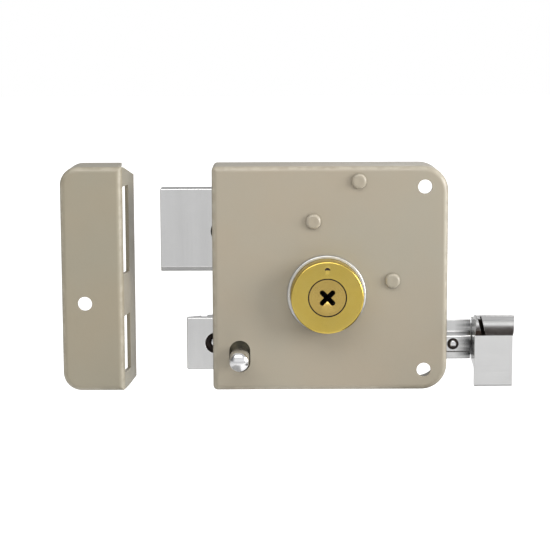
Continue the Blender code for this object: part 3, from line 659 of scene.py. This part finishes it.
def window(node, room_behind, near, far, clear=0.5):
    """A cutter for the window that a node passes through, in a wall from near to far along X."""
    low, high = extent(node)
    outline = rectangle(low.y - clear, high.y + room_behind, low.z - clear, high.z + clear)
    return along(X, outline, near, far)


def make_case_cover():
    """The painted steel box, with its holes, the snib's slot and the windows in its side walls."""
    low, high = extent("case_shell")
    outside, inside = low.y - PAST, low.y + SHEET + PAST
    button = middle("snib_button")
    slot_half_width, slot_reach, slot_drop = 4.5, 2.4, 0.65
    screw_hole, neck = 3.0, 2.3
    tail_room, strap_room = 3.9, 3.4
    opening = radius_of("cylinder_housing") + GAP
    cutters = [hole(middle("cylinder_housing"), opening, outside, inside, sides=96)]
    for side in ("upper", "lower"):
        cutters.append(hole(opening_middle(f"screw_hole_{side}"), screw_hole, outside, inside))
    for post in POST_TAILS:
        cutters.append(hole(middle(post), neck, outside, inside, sides=32))
    slot = obround(button.x, button.z - slot_drop, slot_reach, slot_half_width, angle=90)
    cutters.append(along(Y, slot, outside, inside))
    for bolt in BOLTS:
        cutters.append(window(bolt, tail_room, low.x - PAST, low.x + SHEET + PAST))
    cutters.append(window("pull_bar", strap_room, high.x - SHEET - PAST, high.x + PAST))
    shell = pressed_pan("case_shell", left_corner=2.0, right_corner=11.0)
    finished("case_cover", shell, case_paint, ["case_shell"], cutters, edge=0.22)


def make_posts():
    """Spacer posts whose peened heads show on the front sheet, painted over with the case."""
    head_radius, body_radius, neck_radius = 3.25, 3.3, 2.0
    corner, flat, dish = 1.3, 0.4, 0.25
    head_turns = (0.3, 0.6, 0.9, 1.25, math.pi / 2)
    sheet = extent("case_shell")[0].y
    body_start = sheet + SHEET + GAP
    for node, tail in POST_TAILS.items():
        low, high = extent(node)
        face, body_end = low.y, high.y - (GAP + tail)
        profile = [(face + dish, POINT), (face + dish, flat), (face, head_radius - corner)]
        profile += round_over(face, corner, head_radius, corner, head_turns)
        profile += [(sheet - GAP, head_radius), (sheet - GAP, neck_radius), (body_start, neck_radius)]
        profile += [(body_start, body_radius), (body_end, body_radius)]
        profile += [(body_end, neck_radius), (high.y, neck_radius)]
        post = turned_on_y(profile, middle(node), sides=64)
        finished(f"{node}_turned", post, case_paint, [node])


# ---------------------------------------------------------------- key cylinder

PIN_ANGLES = (45, 135, 225, 315)
PIN_LEVEL, PIN_HOLE = -30.0, 1.5
PLUG_RADIUS = 8.0


def pin_holes(axis, start, length):
    """Four round cutters standing out from the cylinder's axis."""
    cutters = []
    for angle in PIN_ANGLES:
        a = math.radians(angle)
        out = Vector((math.cos(a), 0, math.sin(a)))
        foot = Vector((axis.x, PIN_LEVEL, axis.z)) + out * start
        cutters.append(turned([(0, PIN_HOLE), (length, PIN_HOLE)], foot, out, sides=24))
    return cutters


def make_cylinder():
    """The brass housing: a bore for the plug, four pin holes and a drill mark above the plug."""
    low, high = extent("cylinder_housing")
    axis = middle("cylinder_housing")
    face, back, radius = low.y, high.y, radius_of("cylinder_housing")
    bore, rim, lip, chamfer = PLUG_RADIUS + 0.08, 0.75, 0.2, 0.4
    profile = [(back, bore), (face + lip, bore), (face, bore + lip), (face, radius - rim)]
    profile += round_over(face, rim, radius, rim)
    profile += [(back - chamfer, radius), (back, radius - chamfer)]
    mark_height, mark_radius, mark_depth, mark_tip = 11.7, 1.2, 0.7, 0.05
    mark = Vector((axis.x, face, axis.z + mark_height))
    cone = [(-PAST, mark_radius), (0, mark_radius), (mark_depth, mark_tip)]
    drill_mark = turned(cone, mark, (0, 1, 0), sides=32)
    cutters = [*pin_holes(axis, start=7.3, length=6.7), drill_mark]

    # The drill mark and the bore's gap round the plug are painted near-black: painted shade.
    def in_mark_or_bore(place):
        in_mark = place.z > mark.z and from_axis(place, mark) < mark_radius and place.y > face
        return in_mark or (from_axis(place, axis) < bore + lip and place.y > face + lip / 4)

    finished(
        "cylinder_body",
        turned_on_y(profile, axis, sides=160, closed=True),
        housing_brass,
        ["cylinder_housing"],
        cutters,
        origin=(axis.x, face, axis.z),
        is_deep=in_mark_or_bore,
    )


def make_collar():
    """The ring around the housing where it comes through the front sheet."""
    low, high = extent("cylinder_collar")
    inner, outer = radius_of("cylinder_housing") + GAP / 2, radius_of("cylinder_collar")
    rim = 0.55
    profile = [(high.y, inner), (low.y, inner), (low.y, outer - rim)]
    profile += round_over(low.y, rim, outer, rim)
    profile.append((high.y, outer))
    collar = turned_on_y(profile, middle("cylinder_housing"), sides=160, closed=True)
    finished("cylinder_ring", collar, zinc_plate, ["cylinder_collar"])


def lead_in(axis, face, depth):
    """A cutter for the small pit at the keyway's foot, three-sided and narrowing as it goes in."""
    apex, foot, half_width, narrowing = -1.0, -3.2, 2.0, 0.2
    corners = [(0, apex), (-half_width, foot), (half_width, foot)]
    rings = [[(axis.x + x, y, axis.z + z) for x, z in corners] for y in (face - PAST, face)]
    end = []
    for x, z in corners:
        end.append((axis.x + x * narrowing, face + depth, axis.z + apex + (z - apex) * narrowing))
    return solid([*rings, end])


def make_plug():
    """The plug that the key turns: a cross-shaped keyway in front and a square socket behind."""
    low, high = extent("cylinder_plug")
    axis = middle("cylinder_plug")
    face, end, neck = low.y, high.y, extent("cylinder_housing")[1].y
    lip, neck_radius, neck_length, flange = 0.25, 6.5, 1.4, 7.9
    profile = [(face, POINT), (face, PLUG_RADIUS - lip), (face + lip, PLUG_RADIUS), (neck, PLUG_RADIUS)]
    profile += [(neck, neck_radius), (neck + neck_length, neck_radius), (neck + neck_length, flange)]
    profile += [(end, flange), (end, POINT)]
    arm, half_width, keyway_end = 3.1, 1.1, -18.5
    cutters = []
    for angle in (45, 135):
        cutters.append(along(Y, obround(axis.x, axis.z, arm, half_width, angle), face - PAST, keyway_end))
    lead_in_depth, tang, socket_depth = 0.9, 2.8, 1.2
    square = rectangle(axis.x - tang, axis.x + tang, axis.z - tang, axis.z + tang)
    socket = along(Y, square, end - socket_depth, end + PAST)
    cutters += [lead_in(axis, face, lead_in_depth), socket, *pin_holes(axis, start=3.9, length=5.0)]

    # The keyway and the groove round the plug's rim are painted near-black: painted shade.
    def in_keyway_or_groove(place):
        away = from_axis(place, axis)
        in_keyway = face + lead_in_depth < place.y < end and away < arm + half_width + GAP
        return in_keyway or (place.y > face + lip / 4 and away > PLUG_RADIUS - lip)

    finished(
        "plug_body",
        turned_on_y(profile, axis, sides=128),
        plug_brass,
        ["cylinder_plug"],
        cutters,
        edge=0.07,
        origin=(axis.x, face, axis.z),
        is_deep=in_keyway_or_groove,
    )


# ---------------------------------------------------------------- bolts and pull


SEAT_RADIUS, SEAT_DEPTH = 4.4, 3.2


def rivet_seat(node, rivet_node):
    """Cutters for the seat of a rivet in a bolt's front face and for its shank."""
    low, high = extent(node)
    place = middle(rivet_node)
    seat = hole(place, SEAT_RADIUS, low.y - PAST, low.y + SEAT_DEPTH, sides=96)
    return [seat, hole(place, RIVET_HOLE, low.y + PAST, high.y + PAST, sides=48)]


def seat_test(node, rivet_node):
    """A test for places inside a rivet's seat, whose faces are painted near-black as painted shade."""
    rim = extent(node)[0].y + 2 * GAP
    rivet = middle(rivet_node)

    def in_seat(place):
        return place.y > rim and from_axis(place, rivet) < SEAT_RADIUS + GAP

    return in_seat


def make_deadbolt():
    """The deadbolt's head: a bar with its lower front edge cut back, and a rivet's seat."""
    low, high = extent("deadbolt_head")
    chamfer_rise, chamfer_run = 2.0, 1.4
    edge, brow, foot = 0.45, 0.8, 0.6
    section = rounded(
        [
            (low.y, low.z + chamfer_rise, brow),
            (low.y, high.z, edge),
            (high.y, high.z, edge),
            (high.y, low.z, edge),
            (low.y + chamfer_run, low.z, foot),
        ]
    )
    cutters = rivet_seat("deadbolt_head", "deadbolt_rivet")
    in_seat = seat_test("deadbolt_head", "deadbolt_rivet")
    bar = along(X, section, low.x, high.x)
    finished("deadbolt_bar", bar, bolt_chrome, ["deadbolt_head"], cutters, edge=0.4, is_deep=in_seat)


def make_latch():
    """The latch bolt: bevelled at the back of its tip, with a rivet's seat and the snib's notch."""
    low, high = extent("latch_head")
    bevel_run, tip_back = 10.0, 3.3
    front_edge, rear_edge, heel, nose = 0.6, 0.4, 1.2, 0.8
    outline = rounded(
        [
            (low.x, low.y, front_edge),
            (high.x, low.y, rear_edge),
            (high.x, high.y, rear_edge),
            (low.x + bevel_run, high.y, heel),
            (low.x, low.y + tip_back, nose),
        ]
    )
    notch_left, notch_right, notch_front, notch_floor = -55.6, -53.2, -16.9, -20.7
    notch = rectangle(notch_left, notch_right, notch_front, high.y + PAST)
    cutters = rivet_seat("latch_head", "latch_rivet") + [along(Z, notch, notch_floor, high.z + PAST)]
    in_seat = seat_test("latch_head", "latch_rivet")
    bolt = along(Z, outline, low.z, high.z)
    finished("latch_bolt", bolt, bolt_chrome, ["latch_head"], cutters, edge=0.4, is_deep=in_seat)


def make_rivet(node):
    """A rivet along Y: a polished dome in front, a shank and a flat tail.

    On the pull bar the dome is smaller and stands on a flat brim.
    """
    low, high = extent(node)
    place, front = middle(node), low.y
    shank, tail, tail_height, tail_edge = 1.6, 2.8, 0.8, 0.2
    head, rise, crown, crown_rise, brim, brim_back = 2.9, 1.9, 1.45, 0.35, 2.3, 0.5
    dome_turns = (0.02, 0.2, 0.4, 0.6, 0.8, 1.0, 1.2, 1.4, math.pi / 2)
    in_bar = node.startswith("bar")
    if in_bar:
        profile, seat = round_over(front, crown_rise, crown, crown, dome_turns), front + brim_back
        profile += [(front + crown_rise, brim), (seat, brim)]
    else:
        profile, seat = round_over(front, rise, head, head, dome_turns), front + rise
    profile += [(seat, shank), (high.y - tail_height, shank), (high.y - tail_height, tail)]
    profile += [(high.y - tail_edge, tail), (high.y, tail - tail_edge), (high.y, POINT)]

    # On the bar, the brim round the dome is painted near-black: painted shade.
    def on_the_brim(face):
        return from_axis(face, place) > crown and front + crown_rise - HAIR < face.y < place.y

    rivet = turned_on_y(profile, place, sides=64)
    is_deep = on_the_brim if in_bar else None
    finished(f"{node}_domed", rivet, pin_chrome, [node], origin=place, is_deep=is_deep)


def make_pull_bar():
    """Pressed from strip: a wide step, a ridge and a narrow flange, rolled back at the outer end."""
    low, high = extent("pull_bar")
    back, front, sheet = high.y, low.y, 1.2
    flange, top, bottom = back - sheet, high.z, low.z
    foot, crest, brow, ledge = -24.8, -26.5, -33.4, -33.9
    edge, tight, bend, soft = 0.3, 0.25, 0.5, 0.9
    section = rounded(
        [
            (flange, top, edge),
            (flange, foot, bend),
            (front, crest, soft),
            (front, brow, bend),
            (flange, ledge, tight),
            (flange, bottom, edge),
            (back, bottom, edge),
            (back, ledge + sheet, tight),
            (front + sheet, brow + sheet, tight),
            (front + sheet, crest - sheet / 2, tight),
            (back, foot - sheet / 2, tight),
            (back, top, edge),
        ]
    )
    roll, flattening, steps = 7.0, 0.18, 8
    levels = [(low.x, 1.0)]
    for i in range(steps + 1):
        share = i / steps
        levels.append((high.x - roll * (1 - share), 1 - flattening * share**2))
    rings = [[(x, back - (back - y) * depth, z) for y, z in section] for x, depth in levels]
    rivets = [middle(node) for node in ("bar_rivet_1", "bar_rivet_2")]
    sunk, sunk_depth = 2.5, 0.35
    cutters = [hole(rivet, RIVET_HOLE, front - PAST, back + PAST, sides=48) for rivet in rivets]
    cutters += [hole(rivet, sunk, front - PAST, front + sunk_depth, sides=48) for rivet in rivets]

    # The sunk ring round each rivet is painted near-black: painted shade.
    def round_a_rivet(place):
        nearest = min(from_axis(place, rivet) for rivet in rivets)
        return nearest < sunk and place.y > front + sunk_depth / 4

    bar = solid(rings)
    finished("pull_bar_pressed", bar, bar_chrome, ["pull_bar"], cutters, edge=0.15, is_deep=round_a_rivet)


def make_pull():
    """A finger plate under a rounded lip, on a block that the strap is riveted behind."""
    low, high = extent("pull_handle")
    plate, front = 3.0, -26.5
    lip_height, lip_flat, lip_slope, steps = 9.4, 2.0, 1.1, 24
    block_high, block_front, block_low, ramp_foot = high.z - 3.4, front + 4.0, -37.0, -39.0
    soft, ramp_bend, step_edge, lip_edge = 0.5, 1.5, 0.3, 0.4
    lip_low, proud, bend = high.z - lip_height, front - low.y, lip_height - lip_flat
    outline = []
    for i in range(steps + 1):
        a = math.radians(90 * i / steps)
        outline.append((front - proud * math.cos(a), high.z - lip_flat - bend * math.sin(a)))
    outline += rounded(
        [
            (front, lip_low - soft, 0.0),
            (front, low.z, soft),
            (front + plate, low.z, soft),
            (front + plate, ramp_foot, ramp_bend),
            (high.y, block_low, soft),
            (high.y, block_high, soft),
            (block_front, block_high, step_edge),
            (block_front, high.z - lip_slope, soft),
            (low.y, high.z, lip_edge),
        ]
    )
    web, slant, width, notch_floor, rivet_end = 0.5, 2.3, 1.7, -19.5, -17.0
    left, top = low.x + web, high.z - web
    notch = [(left, top), (left + slant, lip_low), (left + slant + width, lip_low), (left + width, top)]
    cutters = [along(Y, notch, low.y - PAST, notch_floor)]
    for node in ("pull_rivet_1", "pull_rivet_2"):
        cutters.append(hole(middle(node), RIVET_HOLE, rivet_end, high.y + PAST, sides=48))

    # The notch at the lip's left end is painted near-black: painted shade.
    def in_notch(place):
        across = left - GAP < place.x < left + slant + width
        return across and lip_low - GAP < place.z < top and low.y + PAST < place.y < notch_floor + GAP

    pull = along(X, outline, low.x, high.x)
    finished("pull_grip", pull, pull_chrome, ["pull_handle"], cutters, edge=0.2, is_deep=in_notch)


def make_latch_spring():
    """Round wire with closed ends, which shortens as the latch bolt goes in."""
    low, high = extent("latch_spring")
    centre = (low + high) / 2
    wire, turns, steps, sides = 0.45, 9, 40, 12
    radius = (high.z - low.z) / 2 - wire
    run = high.x - low.x - 2 * wire
    closed_turn = 1 / turns
    closed_pitch = 2.1 * wire

    def inward(share):
        """How far along the axis the wire has come from its nearer end, after a share of its turns."""
        from_end = min(share, 1 - share)
        if from_end < closed_turn:
            return from_end / closed_turn * closed_pitch
        opened = (from_end - closed_turn) / (0.5 - closed_turn)
        return closed_pitch + opened * (run / 2 - closed_pitch)

    rings = []
    for i in range(turns * steps + 1):
        share = i / (turns * steps)
        x = low.x + wire + (inward(share) if share < 0.5 else run - inward(share))
        angle = 2 * math.pi * turns * share
        out = Vector((0, math.cos(angle), math.sin(angle)))
        ring = []
        for k in range(sides):
            a = 2 * math.pi * k / sides
            core = Vector((x + wire * math.sin(a), centre.y, centre.z))
            ring.append(core + out * (radius + wire * math.cos(a)))
        rings.append(ring)
    spring = finished("latch_coil", solid(rings), spring_steel, ["latch_spring"])
    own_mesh(spring)


# ---------------------------------------------------------------- snib and keeper


def make_snib_button():
    """A round-ended pin on a thinner neck."""
    low, high = extent("snib_button")
    axis = middle("snib_button")
    radius, rise, neck, foot_edge = radius_of("snib_button"), 2.3, 1.8, 0.3
    foot = extent("snib_slide")[0].y - GAP
    cap_turns = (0.02, 0.15, 0.3, 0.45, 0.6, 0.75, 0.9, 1.05, 1.2, 1.35, 1.46, math.pi / 2)
    profile = round_over(low.y, rise, radius, radius, cap_turns)
    profile += [(foot - foot_edge, radius), (foot, radius - foot_edge), (foot, neck)]
    profile += [(high.y, neck), (high.y, POINT)]
    pin = turned_on_y(profile, axis, sides=96)
    finished("snib_pin", pin, pin_chrome, ["snib_button"], origin=(axis.x, low.y, axis.z))


def make_keeper_cover():
    """The keeper: a pan whose bolt side leans out, with a slot for each bolt and a screw hole."""
    low, high = extent("keeper_shell")
    flare = 3.4
    right = high.x - flare
    outside, inside = low.y - PAST, low.y + SHEET + PAST
    screw_hole, clear = 3.05, 1.0
    slot_front, slot_back = -22.6, -11.5
    cutters = [hole(opening_middle("keeper_screw_hole"), screw_hole, outside, inside)]
    for bolt in BOLTS:
        bolt_low, bolt_high = extent(bolt)
        slot = rectangle(slot_front, slot_back, bolt_low.z - clear, bolt_high.z + clear)
        cutters.append(along(X, slot, right - SHEET - PAST, high.x + PAST))
    cutters += keeper_corner_cuts(low, high, right)
    shell = pressed_pan("keeper_shell", left_corner=8.0, right_corner=1.0, flare=flare)
    finished("keeper_cover", shell, keeper_paint, ["keeper_shell"], cutters, edge=0.22)


def keeper_corner_cuts(low, high, right):
    """Wedges that take the bolt side's corners off towards the back."""
    width, top, bottom = 1.7, 5.5, 2.0
    front, back = low.y + BEND, PAST
    over, under = high.z + PAST, low.z - PAST
    top_cut = [(front, high.z), (back, high.z - top), (back, over), (front, over)]
    bottom_cut = [(front, low.z), (back, low.z + bottom), (back, under), (front, under)]
    return [along(X, outline, right - width, high.x + PAST) for outline in (top_cut, bottom_cut)]


# ---------------------------------------------------------------- the CAD nodes that stay


def dress_frame(shown_edge=0.12):
    """Gives every CAD node that is still shown its slot's material and softly broken edges."""
    for name, node in frame["nodes"].items():
        if node.hide_render:
            continue
        node.data.materials.clear()
        node.data.materials.append(LOOK_OF_NODE.get(name, LOOK_OF_SLOT[SLOT_OF[name]]))
        weld = node.modifiers.new("joined_corners", "WELD")
        weld.merge_threshold = HAIR * MM
        add_bevel(node, shown_edge, segments=2)
        add_even_shading(node)


# ---------------------------------------------------------------- studio


def make_camera():
    """A long lens in front of the lock, a little above it and looking down."""
    place = Vector((-0.0268, -0.7351, 0.1030))
    pitch, yaw, roll = (math.radians(a) for a in (8.10, 0.257, -0.19))
    lens, sensor = 109.68, 36.0
    camera = bpy.data.objects.new("camera", bpy.data.cameras.new("camera"))
    camera.data.lens = lens
    camera.data.sensor_width = sensor
    camera.data.clip_start, camera.data.clip_end = 0.01, 100.0
    camera.location = place
    ahead = math.cos(pitch)
    forward = Vector((math.sin(yaw) * ahead, math.cos(yaw) * ahead, -math.sin(pitch)))
    camera.rotation_mode = "QUATERNION"
    camera.rotation_quaternion = forward.to_track_quat("-Z", "Y") @ Quaternion((0, 0, 1), roll)
    bpy.context.scene.collection.objects.link(camera)
    bpy.context.scene.camera = camera


def area_light(name, place, size, watts, colour=(1, 1, 1)):
    """A soft box that faces the lock."""
    data = bpy.data.lights.new(name, "AREA")
    data.shape = "RECTANGLE"
    data.size, data.size_y = size
    data.energy = watts
    data.color = colour
    lamp = bpy.data.objects.new(name, data)
    lamp.location = place
    lamp.rotation_mode = "QUATERNION"
    lamp.rotation_quaternion = (-Vector(place)).to_track_quat("-Z", "Y")
    bpy.context.scene.collection.objects.link(lamp)


def stage_sheet(name, mesh, drop, look, seen=True):
    """Lays a flat mesh a drop below the lock's lowest point, as part of the studio."""
    data = bpy.data.meshes.new(name)
    mesh.to_mesh(data)
    mesh.free()
    data.materials.append(look)
    sheet = bpy.data.objects.new(name, data)
    sheet.location = (0, 0, cad_bounds[0].z - drop)
    sheet.visible_camera = seen
    bpy.context.scene.collection.objects.link(sheet)


def floor_paper():
    """White paper that glows for the camera, and less in what the lock reflects."""
    made, tree, shader = new_material("floor_paper")
    clouds = spread(tree, noise(tree, 3, 4), 0.4, 0.6)
    tone = tint(tree, clouds, grey(0.8), (0.84, 0.84, 0.835))
    gloss = spread(tree, noise(tree, 8, 2), 0.4, 0.6, 0.8, 0.9)
    wire_up(tree, shader, tone, gloss, bump(tree, noise(tree, 900, 3), depth=0.02))
    shader.inputs["Emission Color"].default_value = (1, 1, 1, 1)
    glow = spread(tree, camera_sees(tree), 0.0, 1.0, 0.15, 0.78)
    tree.links.new(glow, shader.inputs["Emission Strength"])
    return made


def make_floor():
    """A pale floor well below the lock, so that its shadow falls clear of it."""
    half, drop, squares = 12.0, 0.3, 24
    mesh = bmesh.new()
    bmesh.ops.create_grid(mesh, x_segments=squares, y_segments=squares, size=half)
    stage_sheet("floor", mesh, drop, floor_paper())


def make_card(name, left, right, look):
    """A card below the front of the lock, darkening the chrome that faces down. No camera sees it."""
    front, back, drop = -0.13, 0.0, 0.032
    mesh = bmesh.new()
    mesh.faces.new([mesh.verts.new((x, y, 0)) for x, y in rectangle(left, right, front, back)])
    stage_sheet(name, mesh, drop, look, seen=False)


def make_world():
    """A white room: bright in front, dim to the left and overhead, and dark low down behind."""
    world = bpy.data.worlds.new("studio")
    bpy.context.scene.world = world
    world.use_nodes = True
    tree = world.node_tree
    direction = split(tree, add_node(tree, "ShaderNodeTexCoord").outputs["Generated"])
    overhead = spread(tree, direction["Z"], 0.1, 0.7, 1.0, 0.6)
    sides = spread(tree, direction["X"], -0.85, -0.5, 0.2, 1.0)
    behind = spread(tree, direction["Y"], 0.2, 0.5)
    low = spread(tree, direction["Z"], 0.1, 0.3, 1.0, 0.0)
    dusk = spread(tree, combine(tree, "MULTIPLY", behind, low), 0.0, 1.0, 1.0, 0.15)
    room = combine(tree, "MULTIPLY", combine(tree, "MULTIPLY", overhead, sides), dusk)
    level = add_node(tree, "ShaderNodeMix", {0: camera_sees(tree), 2: room, 3: 1.0})
    background = tree.nodes["Background"]
    tree.links.new(level.outputs[0], background.inputs["Strength"])
    background.inputs["Color"].default_value = (1.0, 1.0, 1.0, 1.0)


def make_studio():
    """Camera, floor, cards, room and lamps."""
    make_camera()
    make_floor()
    make_card("pull_card", left=0.03, right=0.13, look=shade_black)
    make_card("bolt_card", left=-0.1, right=-0.03, look=grey_card)
    make_world()
    area_light("key", place=(-0.18, -0.83, 0.85), size=(1.3, 0.6), watts=8.0, colour=(1.0, 0.985, 0.96))
    area_light("side_fill", place=(1.0, -0.5, 0.25), size=(0.6, 0.6), watts=12.0)
    area_light("back_fill", place=(0.4, 1.1, 0.8), size=(0.9, 0.9), watts=3.0)
    bpy.context.scene.view_settings.view_transform = "Standard"


make_case_cover()
make_posts()
make_cylinder()
make_collar()
make_plug()
make_deadbolt()
make_latch()
for rivet_node in ("deadbolt_rivet", "latch_rivet", "bar_rivet_1", "bar_rivet_2"):
    make_rivet(rivet_node)
make_pull_bar()
make_pull()
make_latch_spring()
make_snib_button()
make_keeper_cover()
dress_frame()
make_studio()
